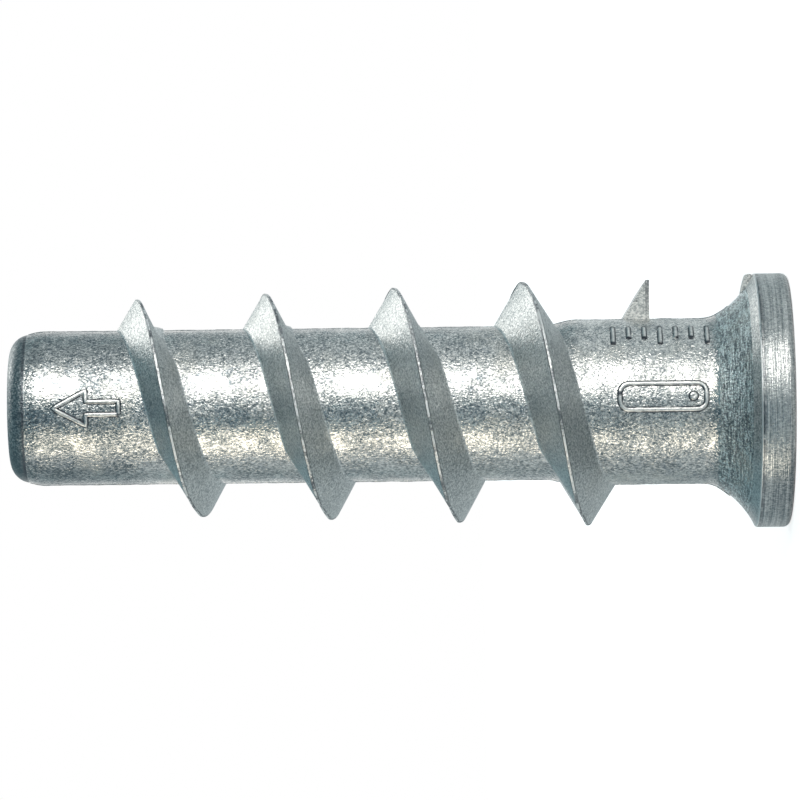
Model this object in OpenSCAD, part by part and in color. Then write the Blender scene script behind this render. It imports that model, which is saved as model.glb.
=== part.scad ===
// Screw-in anchor for aerated concrete, die-cast in one piece.
// It stands on its head: the end face of the head lies on z = 0, the axis is Z and
// the blunt tip points up. The halves of the casting die meet in the plane y = 0,
// and the coarse thread starts and ends in that plane, on the +X side.

/* [Body] */
// Length from the end face of the head to the tip
anchor_length = 60; // [56:0.5:80]
// Diameter of the nose and of the core between the thread's turns
core_d = 11.8; // [10.8:0.1:12.4]
// Length along the axis of the tip's rounded edge
tip_round_length = 1.4; // [0.6:0.1:1.5]
// Width of the tip's rounded edge, down to the flat end
tip_round_width = 1.6; // [1.5:0.1:3]
// Length of the slight taper of the nose before the rounded edge
tip_taper_length = 0.9; // [0.4:0.1:2]
// How much the taper takes off the radius
tip_taper = 0.2; // [0.05:0.05:0.4]

/* [Neck] */
// Diameter of the thicker stretch of the body round the drive socket
neck_d = 12.7; // [12.5:0.1:14]
// Length of the neck past the floor of the socket
neck_overlap = 1.7; // [0.5:0.1:4]
// Length of the cone from the neck to the core
neck_cone_length = 1.8; // [0.5:0.1:3]

/* [Head] */
// Diameter of the flange
flange_d = 19.6; // [18.5:0.1:22]
// Height of the flange's rim
flange_thickness = 2.6; // [1.5:0.1:4]
// Radius of the rim's rounded outer edge
flange_edge_radius = 0.5; // [0.2:0.05:0.8]
// Radius of the hollow flare that carries the flange
flare_radius = 7.1; // [5.5:0.1:9]
// Radius of the fillet that leads from the neck into the flare
flare_blend_radius = 2.3; // [1:0.1:4]
// Slope at which the fillet passes into the flare
flare_blend_angle = 30; // [20:1:40]

/* [Outer thread] */
// Rise of the coarse thread in one turn
thread_pitch = 9.9; // [8:0.1:10.5]
// Number of full turns
thread_turns = 4; // [2:1:4]
// Height above the head's end face at which the thread is cut off square
thread_end = 10.6; // [9:0.05:12]
// Crest diameter where the thread starts, next to the nose
crest_d_start = 16.7; // [15.5:0.1:18]
// Crest diameter where the thread ends, next to the head
crest_d_end = 19.4; // [18:0.1:21]
// Slope of each flank, measured from the plane across the axis
flank_angle = 31; // [25:1:35]
// Width of the crest
crest_flat = 0.23; // [0.1:0.01:0.5]
// How much lower the crest is at the very end of the thread
end_drop = 0.28; // [0:0.02:0.5]
// Angle over which the crest drops to its end
end_drop_arc = 40; // [15:5:90]

/* [Die relief] */
// Height above the core of the foot left under the flank on the head's side
foot_rise = 0.3; // [0.15:0.05:0.6]
// How far this foot reaches out at the parting plane
foot_reach = 0.55; // [0:0.05:0.7]
// How far the flank above the foot is set back at the parting plane
flank_setback = 0.25; // [0:0.05:0.5]
// Angle from the parting plane over which the foot and the setback die out
relief_arc = 45; // [20:5:60]

/* [Socket and bore] */
// Width across the flats of the hexagon drive socket
socket_af = 8.1; // [8.05:0.05:8.5]
// Depth of the socket at full width
socket_depth = 15; // [10:0.5:17]
// Diameter of the chamfer at the socket's mouth
mouth_d = 10.2; // [9.6:0.1:11]
// Core diameter of the M8 screw thread behind the socket
bore_d = 6.8; // [6.6:0.05:7]
// Metal left between the end of the bore and the tip
tip_wall = 6; // [5:0.5:12]
// Slope of the cones at the mouth and at the start of the bore
cone_angle = 45; // [30:5:60]
// Slope of the drilled cone at the bottom of the bore
drill_angle = 30; // [20:5:45]

/* [Hidden] */

$fn = 96;
arc_steps = 8;
steps_per_half_turn = 24;

core_r = core_d / 2;
neck_r = neck_d / 2;
rim_r = flange_d / 2;
neck_length = socket_depth + neck_overlap;

// Place of the turned body's seam, depth to which the thread is rooted in the core,
// and the overlap of a cut
seam_angle = 90;
root_depth = 0.6;
cut_overlap = 1;

// Flare: it starts at the rim and ends at the blend angle, where the fillet takes over
flare_centre_r = neck_r + flare_blend_radius * (1 - cos(flare_blend_angle))
    + flare_radius * cos(flare_blend_angle);
flare_rim_angle = acos((flare_centre_r - rim_r) / flare_radius);
flare_centre_z = flange_thickness + flare_radius * sin(flare_rim_angle);
blend_centre_r = neck_r + flare_blend_radius;
blend_centre_z = flare_centre_z + (flare_blend_radius - flare_radius) * sin(flare_blend_angle);

// Tip: the arc leaves the flat end smoothly and meets the taper at a slight edge
tip_r = core_r - tip_taper;
tip_radius = (pow(tip_round_length, 2) + pow(tip_round_width, 2)) / (2 * tip_round_length);
tip_edge_angle = atan2(tip_radius - tip_round_length, tip_round_width);

// Thread: it is followed from its start near the tip down to its end near the head
half_turns = 2 * thread_turns;
thread_sweep = 360 * thread_turns;
thread_start = thread_end + thread_pitch * thread_turns;
flank_slope = tan(flank_angle);
root_r = core_r - root_depth;
foot_bevel = 0.05;
crest_edge = 0.03;
parting_step = 1;
end_wall = 0.2;

// Socket and bore
socket_corner_r = socket_af / 2 / cos(30);
bore_r = bore_d / 2;
bore_end = anchor_length - tip_wall;
mouth_depth = (mouth_d - socket_af) / 2 * tan(cone_angle);
bore_lead = (socket_af / 2 - bore_r) * tan(cone_angle);
drill_depth = bore_r * tan(drill_angle);

// Points of an arc round a centre, from one angle to another
function arc(centre, radius, from, to) =
    [for (i = [0 : arc_steps])
        let (angle = from + (to - from) * i / arc_steps)
        centre + radius * [cos(angle), sin(angle)]];

// Outline of the turned shape, radius against height
function body_outline() = concat(
    [[0, 0]],
    arc([rim_r - flange_edge_radius, flange_edge_radius], flange_edge_radius, -90, 0),
    arc([flare_centre_r, flare_centre_z], flare_radius,
        180 + flare_rim_angle, 180 + flare_blend_angle),
    arc([blend_centre_r, blend_centre_z], flare_blend_radius,
        180 + flare_blend_angle - flare_blend_angle / arc_steps, 180),
    [[neck_r, neck_length], [core_r, neck_length + neck_cone_length],
        [core_r, anchor_length - tip_round_length - tip_taper_length]],
    arc([tip_r - tip_round_width, anchor_length - tip_radius], tip_radius,
        tip_edge_angle, 90),
    [[0, anchor_length]]
);

// Height and crest radius of the thread at an angle from its start, and half its
// width at a given radius
function crest_z(angle) = thread_start - thread_pitch * angle / 360;
function full_crest_r(angle) =
    (crest_d_start + (crest_d_end - crest_d_start) * angle / thread_sweep) / 2;
function crest_r(angle) = full_crest_r(angle)
    - end_drop * max(0, 1 - (thread_sweep - angle) / end_drop_arc);
function half_width(angle, r) = crest_flat / 2 + (full_crest_r(angle) - r) * flank_slope;

// Radius of the foot's upper edge; the last turn, which runs over the neck, has no foot
// and keeps its sunk below the surface
function foot_r(half) =
    half < half_turns - 2 ? core_r + foot_rise : core_r - root_depth / 2;

// Cut of a flank at an angle from the parting plane: the flank would hold the die half
// back as far as the helix climbs faster than the curve of the ridge falls away
function die_cut(angle, r) =
    max(0, thread_pitch * angle / 360 - flank_slope * r * (1 - cos(angle)));
function tip_cut(since, r) = die_cut(180 - since, r);
function head_cut(half, since, r) = half < half_turns - 2 ? die_cut(since, r) : 0;

// Share of the foot and the setback at a station: they are on the near half only, and
// each turn has less of them
function relief(half, since) = half % 2 == 1 ? 0
    : max(0, 1 - since / relief_arc) * max(0, 1 - half / (half_turns - 2));

// Radius at which the flank on the head's side meets the square cut at the thread's end
function cut_r(angle) = full_crest_r(angle)
    - (crest_z(angle) - thread_end - crest_flat / 2) / flank_slope;

// Stations along the thread: the half turn, and the angle since the parting plane
function stations() =
    [for (half = [0 : half_turns - 1])
        for (i = [0 : steps_per_half_turn])
            let (low = half == 0 ? 0 : parting_step)
            let (high = half == half_turns - 1 ? 180 : 180 - parting_step)
            [half, min(max(180 * i / steps_per_half_turn, low), high)]];

// Section of the thread at a station: radius and height, from the root on the tip's
// side over the crest to the root on the head's side
function section(half, since) =
    let (angle = 180 * half + since)
    let (z = crest_z(angle))
    let (top_r = crest_r(angle))
    let (crest_cut = crest_flat - crest_edge)
    let (reach = foot_reach * relief(half, since))
    let (set_in = flank_setback * relief(half, since))
    let (high_r = foot_r(half) + foot_bevel)
    let (low_r = foot_r(half) - foot_bevel)
    let (wall_r = min(max(cut_r(angle), high_r), top_r - end_wall))
    let (head = [
        [top_r, 0],
        [wall_r, head_cut(half, since, wall_r) + set_in],
        [low_r, head_cut(half, since, low_r) - reach],
        [root_r, head_cut(half, since, root_r) - reach]])
    concat(
        [[root_r, z + half_width(angle, root_r) - tip_cut(since, root_r)],
            [top_r, z + half_width(angle, top_r) - min(tip_cut(since, top_r), crest_cut)]],
        [for (p = head) [p[0], max(z - half_width(angle, p[0]) + p[1], thread_end)]]);

// The turned outside of the anchor: flange, flare, neck, core and nose. Its seam is
// turned away from the plane in which the thread starts and ends.
module turned_body() {
    rotate([0, 0, seam_angle]) rotate_extrude() polygon(body_outline());
}

// The coarse thread, one closed ridge swept down its helix
module coarse_thread() {
    rings = stations();
    points = [for (s = rings)
        let (angle = 180 * s[0] + s[1])
        for (p = section(s[0], s[1])) [p[0] * cos(angle), -p[0] * sin(angle), p[1]]];
    sides = len(points) / len(rings);
    last = (len(rings) - 1) * sides;
    walls = [for (i = [0 : len(rings) - 2])
        for (j = [0 : sides - 1])
            let (a = i * sides + j)
            let (b = i * sides + (j + 1) % sides)
            for (face = [[a, b + sides, a + sides], [a, b, b + sides]]) face];
    start_cap = [[for (j = [0 : sides - 1]) (sides + 3 - j) % sides]];
    end_cap = [[for (j = [0 : sides - 1]) last + (1 + j) % sides]];
    polyhedron(points, concat(start_cap, walls, end_cap));
}

// The hexagon drive socket, with the chamfer that leads the key in
module drive_socket() {
    translate([0, 0, -cut_overlap])
        cylinder(h = socket_depth + cut_overlap, r = socket_corner_r, $fn = 6);
    cylinder(h = mouth_depth, r1 = mouth_d / 2, r2 = socket_af / 2);
}

// The blind bore of the screw thread, from the socket's floor to its drilled end
module screw_bore() {
    translate([0, 0, socket_depth])
        cylinder(h = bore_lead, r1 = socket_af / 2, r2 = bore_r);
    translate([0, 0, socket_depth])
        cylinder(h = bore_end - socket_depth, r = bore_r);
    translate([0, 0, bore_end])
        cylinder(h = drill_depth, r1 = bore_r, r2 = 0);
}

module anchor() {
    color("silver")
        difference() {
            union() {
                turned_body();
                coarse_thread();
            }
            drive_socket();
            screw_bore();
        }
}

anchor();
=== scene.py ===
# %% [markdown]
# # A screw-in anchor for aerated concrete
# The real object is one casting of zinc alloy, 60 mm long. A key turns it into a drilled
# hole, where its coarse thread cuts into the soft stone, and a screw goes into the bore.
# The CAD model is the frame: it gives the place and the size of everything. Blender adds
# what makes it look like a casting: softened edges, the fine thread in the bore, the
# die's parting line, the stub of the gate, raised marks, and a surface of cast zinc.

# %% Load the CAD frame
import math
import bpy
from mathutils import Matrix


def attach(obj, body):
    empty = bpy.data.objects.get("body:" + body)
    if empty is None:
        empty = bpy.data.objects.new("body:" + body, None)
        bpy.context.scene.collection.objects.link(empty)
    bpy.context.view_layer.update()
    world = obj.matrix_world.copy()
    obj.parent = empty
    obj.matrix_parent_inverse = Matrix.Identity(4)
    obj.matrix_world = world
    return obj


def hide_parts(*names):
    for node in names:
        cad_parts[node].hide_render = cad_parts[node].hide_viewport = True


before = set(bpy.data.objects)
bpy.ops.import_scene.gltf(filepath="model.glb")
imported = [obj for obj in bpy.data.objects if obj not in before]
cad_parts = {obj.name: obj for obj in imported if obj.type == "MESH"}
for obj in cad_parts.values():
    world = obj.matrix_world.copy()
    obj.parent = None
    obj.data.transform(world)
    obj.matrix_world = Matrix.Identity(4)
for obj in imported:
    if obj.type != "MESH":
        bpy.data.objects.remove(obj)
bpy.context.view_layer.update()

from types import SimpleNamespace

import bmesh
import bpy
from mathutils import Matrix, Vector

MM = 0.001

# %% [markdown]
# ## The camera
# The photo is a catalogue picture: a long lens far away, with the anchor lying on its
# side. The CAD model stands on its head, so here the camera lies on its side instead,
# and the model stays where it is. Its distance comes from how much larger the near parts
# look than the far ones. A rotation could be given as angles, but three directions, right,
# up and back, are easier to check against the picture.

# %% Place the camera
LENS_MM = 243.0
CAMERA_DISTANCE = 417.0 * MM
CAMERA_AIM = Vector((0.35 * MM, 0.0, 29.94 * MM))
ROLL = math.radians(0.68)

picture_right = Vector((-math.sin(ROLL), 0, -math.cos(ROLL)))
picture_up = Vector((math.cos(ROLL), 0, -math.sin(ROLL)))
towards_viewer = Vector((0, -1, 0))


def place_object(name, data):
    """An object at the origin that carries a mesh, a lamp or a camera."""
    made = bpy.data.objects.new(name, data)
    bpy.context.collection.objects.link(made)
    return made


camera = place_object("camera", bpy.data.cameras.new("camera"))
camera.data.lens = LENS_MM
camera.data.clip_start, camera.data.clip_end = 0.01, 10.0
camera.matrix_world = Matrix.Translation(
    CAMERA_AIM + towards_viewer * CAMERA_DISTANCE
) @ Matrix((picture_right, picture_up, towards_viewer)).transposed().to_4x4()
bpy.context.scene.camera = camera
bpy.context.scene.view_settings.view_transform = "Standard"
print("camera at", [round(x, 4) for x in camera.location])

# %% [markdown]
# ## Reckoning inside a node tree
# Both the thread and the finish follow formulas. In a node tree each sum is a node of its
# own, which is hard to read as a list of links. So a figure, an output that carries a
# number, gets Python's own signs: a + b makes an Add node, and so on. The tree that comes
# out is the same as one made by hand.

# %% Figures that can be added and multiplied
class Figure:
    """A number that a node gives, from its first output or from the named one."""
    def __init__(self, node, output=0):
        self.tree, self.socket = node.id_data, node.outputs[output]

    def __add__(self, other): return reckon("ADD", self, other)
    def __radd__(self, other): return reckon("ADD", other, self)
    def __sub__(self, other): return reckon("SUBTRACT", self, other)
    def __rsub__(self, other): return reckon("SUBTRACT", other, self)
    def __mul__(self, other): return reckon("MULTIPLY", self, other)
    def __rmul__(self, other): return reckon("MULTIPLY", other, self)
    def __truediv__(self, other): return reckon("DIVIDE", self, other)
    def __abs__(self): return reckon("ABSOLUTE", self)


def feed(node, values):
    """Sets inputs to plain values, figures or sockets. A node gives its first output."""
    for name, value in values.items():
        if isinstance(value, bpy.types.Node):
            value = value.outputs[0]
        if isinstance(value, Figure):
            value = value.socket
        if isinstance(value, bpy.types.NodeSocket):
            node.id_data.links.new(value, node.inputs[name])
        else:
            node.inputs[name].default_value = value
    return node


def add_node(tree, kind, values=None, **settings):
    """A new node with its settings and its inputs."""
    made = tree.nodes.new(kind)
    row, column = divmod(len(tree.nodes), 16)
    made.location = (column * 190, -row * 260)
    for name, value in settings.items():
        setattr(made, name, value)
    return feed(made, values or {})


def reckon(operation, *terms):
    """One Math node: the terms are figures or plain numbers."""
    tree = next(t.tree for t in terms if isinstance(t, Figure))
    return Figure(add_node(tree, "ShaderNodeMath", dict(enumerate(terms)),
                           operation=operation))


def most(a, b): return reckon("MAXIMUM", a, b)
def least(a, b): return reckon("MINIMUM", a, b)
def between(a, low, high): return most(least(a, high), low)
def whole(a): return reckon("FLOOR", a)
def above(a, b): return reckon("GREATER_THAN", a, b)
def remainder(a, b): return reckon("MODULO", a, b)


def vector_node(tree, operation, *terms):
    """One Vector Math node: the terms are vectors."""
    return add_node(tree, "ShaderNodeVectorMath", dict(enumerate(terms)), operation=operation)


def split(tree, vector):
    parts = add_node(tree, "ShaderNodeSeparateXYZ", {"Vector": vector})
    return [Figure(parts, axis) for axis in "XYZ"]


def join(tree, x, y=0.0, z=0.0):
    return add_node(tree, "ShaderNodeCombineXYZ", {"X": x, "Y": y, "Z": z})


print("a figure knows + - * / and abs")


# %% [markdown]
# ## Growing a mesh from a node tree
# A Geometry Nodes tree belongs to a modifier. Once its inputs are set, Blender works the
# shape out, and new_from_object keeps the result as a plain mesh that needs no tree. The
# inputs are set by the identifier of their sockets, because names may change.

# %% Make a tree and keep its result
def new_tree(name, inputs):
    """A geometry tree with named inputs, and its figures by name."""
    tree = bpy.data.node_groups.new(name, "GeometryNodeTree")
    tree.is_modifier = True
    tree.interface.new_socket("Geometry", in_out="INPUT", socket_type="NodeSocketGeometry")
    for label, value in inputs.items():
        kind = "NodeSocketInt" if isinstance(value, int) else "NodeSocketFloat"
        tree.interface.new_socket(label, in_out="INPUT", socket_type=kind)
    tree.interface.new_socket("Material", in_out="INPUT", socket_type="NodeSocketMaterial")
    tree.interface.new_socket("Geometry", in_out="OUTPUT", socket_type="NodeSocketGeometry")
    entry = add_node(tree, "NodeGroupInput")
    return tree, entry, {label: Figure(entry, label) for label in inputs}


def close_tree(tree, entry, geometry):
    """Ends the tree in Realize Instances and Set Material."""
    real = add_node(tree, "GeometryNodeRealizeInstances", {"Geometry": geometry})
    dressed = add_node(tree, "GeometryNodeSetMaterial", {
        "Geometry": real, "Material": entry.outputs["Material"]})
    add_node(tree, "NodeGroupOutput", {"Geometry": dressed})


def paint(tree, geometry, label, value):
    """Writes a figure on every point, where a material can read it."""
    return add_node(tree, "GeometryNodeStoreNamedAttribute", {
        "Geometry": geometry, "Name": label, "Value": value},
        data_type="FLOAT", domain="POINT")


def grow(name, tree, inputs, material, seed_mesh=None):
    """Runs a tree on an object and returns the result as an object with a plain mesh."""
    mesh = seed_mesh or bpy.data.meshes.new(name + "_seed")
    source = place_object(name + "_source", mesh)
    modifier = source.modifiers.new("tree", "NODES")
    modifier.node_group = tree
    values = {**inputs, "Material": material}
    for item in tree.interface.items_tree:
        if item.in_out == "INPUT" and item.name in values:
            modifier[item.identifier] = values[item.name]
    graph = bpy.context.evaluated_depsgraph_get()
    result = bpy.data.meshes.new_from_object(
        source.evaluated_get(graph), preserve_all_data_layers=True, depsgraph=graph)
    source.modifiers.remove(modifier)
    bpy.data.objects.remove(source)
    bpy.data.meshes.remove(mesh)
    result.name = name
    # The primitives bring an empty slot of their own, so the slots are made anew.
    result.materials.clear()
    result.materials.append(material)
    for face in result.polygons:
        face.material_index = 0
    print(f"{name}: {len(result.polygons)} faces from {len(tree.nodes)} nodes")
    return place_object(name, result)


def close_up(mesh, gap=0.2e-6):
    """Merges doubles, turns all faces outwards, and tells whether the mesh is closed."""
    shape = bmesh.new()
    shape.from_mesh(mesh)
    bmesh.ops.remove_doubles(shape, verts=shape.verts, dist=gap)
    bmesh.ops.dissolve_degenerate(shape, edges=shape.edges, dist=gap)
    bmesh.ops.recalc_face_normals(shape, faces=shape.faces)
    if shape.calc_volume(signed=True) < 0:
        bmesh.ops.reverse_faces(shape, faces=shape.faces)
    loose = sum(len(edge.link_faces) != 2 for edge in shape.edges)
    volume = shape.calc_volume(signed=True)
    shape.to_mesh(mesh)
    shape.free()
    print(f"{mesh.name}: {len(mesh.polygons)} faces, {loose} open edges, "
          f"{volume / MM ** 3:.0f} mm3")


def piece_from(shape, name):
    """Turns a shape that was built up into an object with a closed mesh."""
    mesh = bpy.data.meshes.new(name)
    shape.to_mesh(mesh)
    shape.free()
    close_up(mesh)
    return place_object(name, mesh)


# %% [markdown]
# ## Cast zinc
# The casting is bare zinc alloy. Where it lay against the die it is satin and full of
# grain: tiny facets that each lean a little and catch the light on their own, dark
# wrinkles where the metal set last, a few pits, and calmer patches that mirror the room
# more plainly. A picture of metal could be wrapped round it, but its highlights would be
# those of another room. So the grain is made of noise: facets lean the surface, a height
# gives the bump, and flecks and stains change the colour. One recipe with a few settings
# makes every finish on the anchor, so that they stay one metal.

# %% Colours of the metal
ZINC_LIGHT = (1.0, 0.99, 0.965, 1.0)
ZINC_COOL = (0.98, 0.99, 0.98, 1.0)
ZINC_TEAL = (0.89, 0.99, 1.0, 1.0)
ZINC_DARK = (0.16, 0.195, 0.215, 1.0)
ZINC_WARM = (0.72, 0.70, 0.65, 1.0)
ZINC_STAIN = (0.17, 0.22, 0.27, 1.0)
PIT_DARK = (0.16, 0.17, 0.18, 1.0)
# A pale line, partly wear and partly a painted highlight on edges.
WORN_AND_HIGHLIGHT_LINE = (0.84, 0.85, 0.85, 1.0)
# A dark line of painted shade beside edges and at the feet of raised lines.
EDGE_SHADE = (0.10, 0.11, 0.13, 1.0)


def mix_colours(tree, share, first, second):
    """A colour that goes from the first to the second as the share goes from 0 to 1."""
    mixed = add_node(tree, "ShaderNodeMix", {"Factor": share, 6: first, 7: second},
                     data_type="RGBA")
    return mixed.outputs[2]


print("the metal runs from", ZINC_DARK[:3], "to", ZINC_LIGHT[:3])

# %% [markdown]
# The patterns are laid out in millimetres and read Object coordinates, so they stay on
# the piece from every side. Three ways to measure the place are enough: as it is, drawn
# out along the body, as the metal ran into the die, and rolled out round the axis, for
# streaks that go round.

# %% Places, noise and a soft step
GRAIN_STRETCH = (1.0, 1.0, 0.65)
STREAKS_PER_MM = 6.0


def places(tree, stroke):
    """The place in millimetres: as it is, drawn out, and rolled out round the axis."""
    place = add_node(tree, "ShaderNodeTexCoord").outputs["Object"]
    spot = add_node(tree, "ShaderNodeMapping", {"Vector": place, "Scale": (1 / MM,) * 3})
    drawn_out = add_node(tree, "ShaderNodeMapping", {"Vector": spot, "Scale": GRAIN_STRETCH})
    x, y, z = split(tree, spot)
    rolled_out = join(tree, reckon("ARCTAN2", y, x) * stroke,
                      reckon("SQRT", x * x + y * y) * STREAKS_PER_MM, z * STREAKS_PER_MM)
    return SimpleNamespace(spot=spot, drawn_out=drawn_out, rolled_out=rolled_out, x=x, z=z)


def noise(tree, vector, per_mm, detail=2.0, rough=0.5):
    return Figure(add_node(tree, "ShaderNodeTexNoise", {
        "Vector": vector, "Scale": per_mm, "Detail": detail, "Roughness": rough}))


def soft_step(value, low, high):
    """Goes smoothly from 0 to 1 as the value goes from low to high."""
    return Figure(add_node(value.tree, "ShaderNodeMapRange", {
        "Value": value, "From Min": low, "From Max": high}, interpolation_type="SMOOTHSTEP"))


def painted(tree, label):
    """A figure that was written on the points of the mesh."""
    return Figure(add_node(tree, "ShaderNodeAttribute", attribute_name=label), "Fac")


print("a streak is", round(1 / STREAKS_PER_MM, 2), "mm wide")


# %% [markdown]
# Six patterns make the grain. Wrinkles are the lines where a noise crosses its middle, as
# contour lines on a map. Pits are the dots of a cell pattern, kept only here and there.

# %% The grain of the casting
FINE_PER_MM, COARSE_PER_MM, PATCHES_PER_MM = 7.5, 2.2, 0.45
WRINKLES_PER_MM, WRINKLE_WIDTH = 4.6, 0.12
DOTS_PER_MM, DOT_EDGE, PITTED_PER_MM, PITTED_SHARE = 2.2, (0.05, 0.16), 0.9, 0.56


def grain_patterns(tree, at):
    contour = abs(noise(tree, at.drawn_out, WRINKLES_PER_MM) - 0.5)
    cells = add_node(tree, "ShaderNodeTexVoronoi", {"Vector": at.spot, "Scale": DOTS_PER_MM})
    dots = 1.0 - soft_step(Figure(cells, "Distance"), *DOT_EDGE)
    return SimpleNamespace(
        fine=noise(tree, at.drawn_out, FINE_PER_MM, 1.0),
        coarse=noise(tree, at.spot, COARSE_PER_MM),
        patches=noise(tree, at.spot, PATCHES_PER_MM, 3.0, 0.6),
        wrinkles=1.0 - soft_step(contour, 0.0, WRINKLE_WIDTH),
        lines=soft_step(noise(tree, at.rolled_out, 1.0, 3.0, 0.7), 0.2, 0.8),
        pits=dots * above(noise(tree, at.spot, PITTED_PER_MM, 1.0), PITTED_SHARE))


print("the grain measures", round(1 / FINE_PER_MM, 2), "to", round(1 / COARSE_PER_MM, 2), "mm")


# %% [markdown]
# The colour starts from one tone between dark and light metal. Flecks, patches, wrinkles
# and streaks shift it. So does the place: the nose is darker, and the lower side of the
# nose, rim and tip is painted darker as shade, while the neck is painted lighter on its
# upper side and darker below, as light falling from above. Warm areas, stains, pits, a dark
# line of painted shade and worn edges with painted highlights are then mixed in, one over
# the other.

# %% The colour of the casting
MIDDLE_TONE = 0.66
FLECKS_PER_MM, STAINS_PER_MM, EDGE_SHADE_PER_MM, WARM_PER_MM = 6.5, 1.3, 1.6, 0.25
NOSE_FROM, NECK_TO = (49.5, 51.5), (15.0, 18.0)
SHADED_BELOW_FROM, LIT_UPPER_FROM = (2.5, 5.0), (-1.0, 1.0)


def zinc_colour(tree, finish, at, grain, worn_and_highlight):
    nose, neck = soft_step(at.z, *NOSE_FROM), 1.0 - soft_step(at.z, *NECK_TO)
    # Painted light: the lower side is painted darker as shade, the upper side lighter.
    shaded_below, lit_upper_half = soft_step(-1 * at.x, *SHADED_BELOW_FROM), soft_step(at.x, *LIT_UPPER_FROM)
    flecks = soft_step(noise(tree, at.drawn_out, FLECKS_PER_MM, 1.0), 0.40, 0.60) - 0.5
    fleck_strength = (0.34 + 0.08 * finish.mottle) * (0.45 + 0.55 * min(finish.grain, 1.0))
    patchy = soft_step(grain.coarse * 0.4 + grain.patches * 0.6, 0.36, 0.62) - 0.5
    # Painted shade and light: nose, rim and tip darker on their lower side, the neck lighter
    # on its upper side.
    tone = (MIDDLE_TONE + flecks * fleck_strength + patchy * (0.26 * finish.mottle)
            - grain.wrinkles * (0.34 * finish.grain)
            + (grain.lines - 0.5) * (0.5 * finish.streaks)
            - nose * (0.12 + shaded_below * 0.18)
            + neck * (lit_upper_half * 0.23 - 0.08) * finish.mottle
            - shaded_below * finish.underside - finish.dull)
    warmth = soft_step(noise(tree, at.spot, WARM_PER_MM), 0.5, 0.75) * (0.5 * finish.mottle)
    stains = soft_step(noise(tree, at.spot, STAINS_PER_MM, 3.0, 0.65), 0.53, 0.64)
    # Painted shade: the dark lines that the mesh marks, broken by noise.
    edge_shade = painted(tree, "edge_shade") * soft_step(noise(tree, at.spot, EDGE_SHADE_PER_MM), 0.25, 0.55)
    shade = mix_colours(tree, tone, ZINC_DARK, finish.light)
    for share, colour in ((warmth, ZINC_WARM), (stains * (0.3 * finish.mottle), ZINC_STAIN),
                          (grain.pits * 0.55, PIT_DARK), (edge_shade * 0.85, EDGE_SHADE),
                          (worn_and_highlight, WORN_AND_HIGHLIGHT_LINE)):
        shade = mix_colours(tree, share, shade, colour)
    return shade


print("a fleck measures", round(1 / FLECKS_PER_MM, 2), "mm")


# %% [markdown]
# The relief has two parts. A cell pattern of small facets gives each its own lean, which
# is added to the surface's own direction, and this makes the sparkle. A height of less
# than a tenth of a millimetre then gives the bump. Both are weaker in the calm patches.

# %% The relief of the casting
FACETS_PER_MM, FACET_LEAN = 13.0, 0.20
FULL_RELIEF, CALM_RELIEF = 1.05, 0.45
FINE_MM, COARSE_MM, WRINKLE_MM, LINE_MM, PIT_MM = 0.032, 0.030, 0.009, 0.02, 0.05


def zinc_relief(tree, finish, at, grain, calm):
    relief = FULL_RELIEF - calm * CALM_RELIEF
    facets = add_node(tree, "ShaderNodeTexVoronoi", {
        "Vector": at.drawn_out, "Scale": FACETS_PER_MM})
    off_centre = vector_node(tree, "SUBTRACT", facets.outputs["Color"], (0.5, 0.5, 0.5))
    lean = add_node(tree, "ShaderNodeVectorMath", {
        0: off_centre, "Scale": relief * (FACET_LEAN * finish.grain)}, operation="SCALE")
    surface = add_node(tree, "ShaderNodeNewGeometry").outputs["Normal"]
    facing = vector_node(tree, "NORMALIZE", vector_node(tree, "ADD", lean, surface))
    height = ((grain.fine * FINE_MM + grain.coarse * COARSE_MM - grain.wrinkles * WRINKLE_MM)
              * relief * finish.grain
              + grain.lines * (LINE_MM * finish.streaks) - grain.pits * PIT_MM)
    return add_node(tree, "ShaderNodeBump", {
        "Height": height * MM, "Normal": facing, "Strength": 1.0, "Distance": 1.0})


print("a facet measures", round(1 / FACETS_PER_MM, 2), "mm")


# %% [markdown]
# The recipe puts colour, sheen and relief on one shader. A finish is named by how it
# differs from the plain cast one. What is the same all over, such as how metallic it is,
# is set on the shader itself.

# %% The recipe for zinc
PLAIN_CAST = {
    "grain": 1.0, "roughness": 0.27, "streaks": 0.0, "stroke": 1.2, "mottle": 1.0,
    "dull": 0.0, "underside": 0.0, "metal": 1.0, "edge_tint": 1.0, "light": ZINC_LIGHT}
WORN_AND_HIGHLIGHT_PER_MM, WORN_AND_HIGHLIGHT_FROM = 0.8, (1.44, 1.54)
CALM_FROM = (0.44, 0.56)


def zinc(name, **differences):
    finish = SimpleNamespace(**{**PLAIN_CAST, **differences})
    material = bpy.data.materials.new(name)
    material.use_nodes = True
    tree = material.node_tree
    shader = tree.nodes["Principled BSDF"]
    shader.inputs["Metallic"].default_value = finish.metal
    shader.inputs["Specular Tint"].default_value = (finish.edge_tint,) * 3 + (1.0,)

    at = places(tree, finish.stroke)
    grain = grain_patterns(tree, at)
    calm = soft_step(grain.patches, *CALM_FROM) * finish.mottle
    # Wear and painted highlights: the bright lines that the mesh marks, broken by noise.
    worn_and_highlight = soft_step(painted(tree, "worn_and_highlight") + noise(tree, at.spot, WORN_AND_HIGHLIGHT_PER_MM, 4.0, 0.75),
                     *WORN_AND_HIGHLIGHT_FROM)
    sheen = finish.roughness + (grain.coarse - 0.5) * 0.10 - calm * 0.05 + worn_and_highlight * 0.15
    feed(shader, {"Base Color": zinc_colour(tree, finish, at, grain, worn_and_highlight),
                  "Roughness": between(sheen, 0.12, 0.8),
                  "Normal": zinc_relief(tree, finish, at, grain, calm)})
    print(name, "differs in:", ", ".join(differences) or "nothing")
    return material
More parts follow.
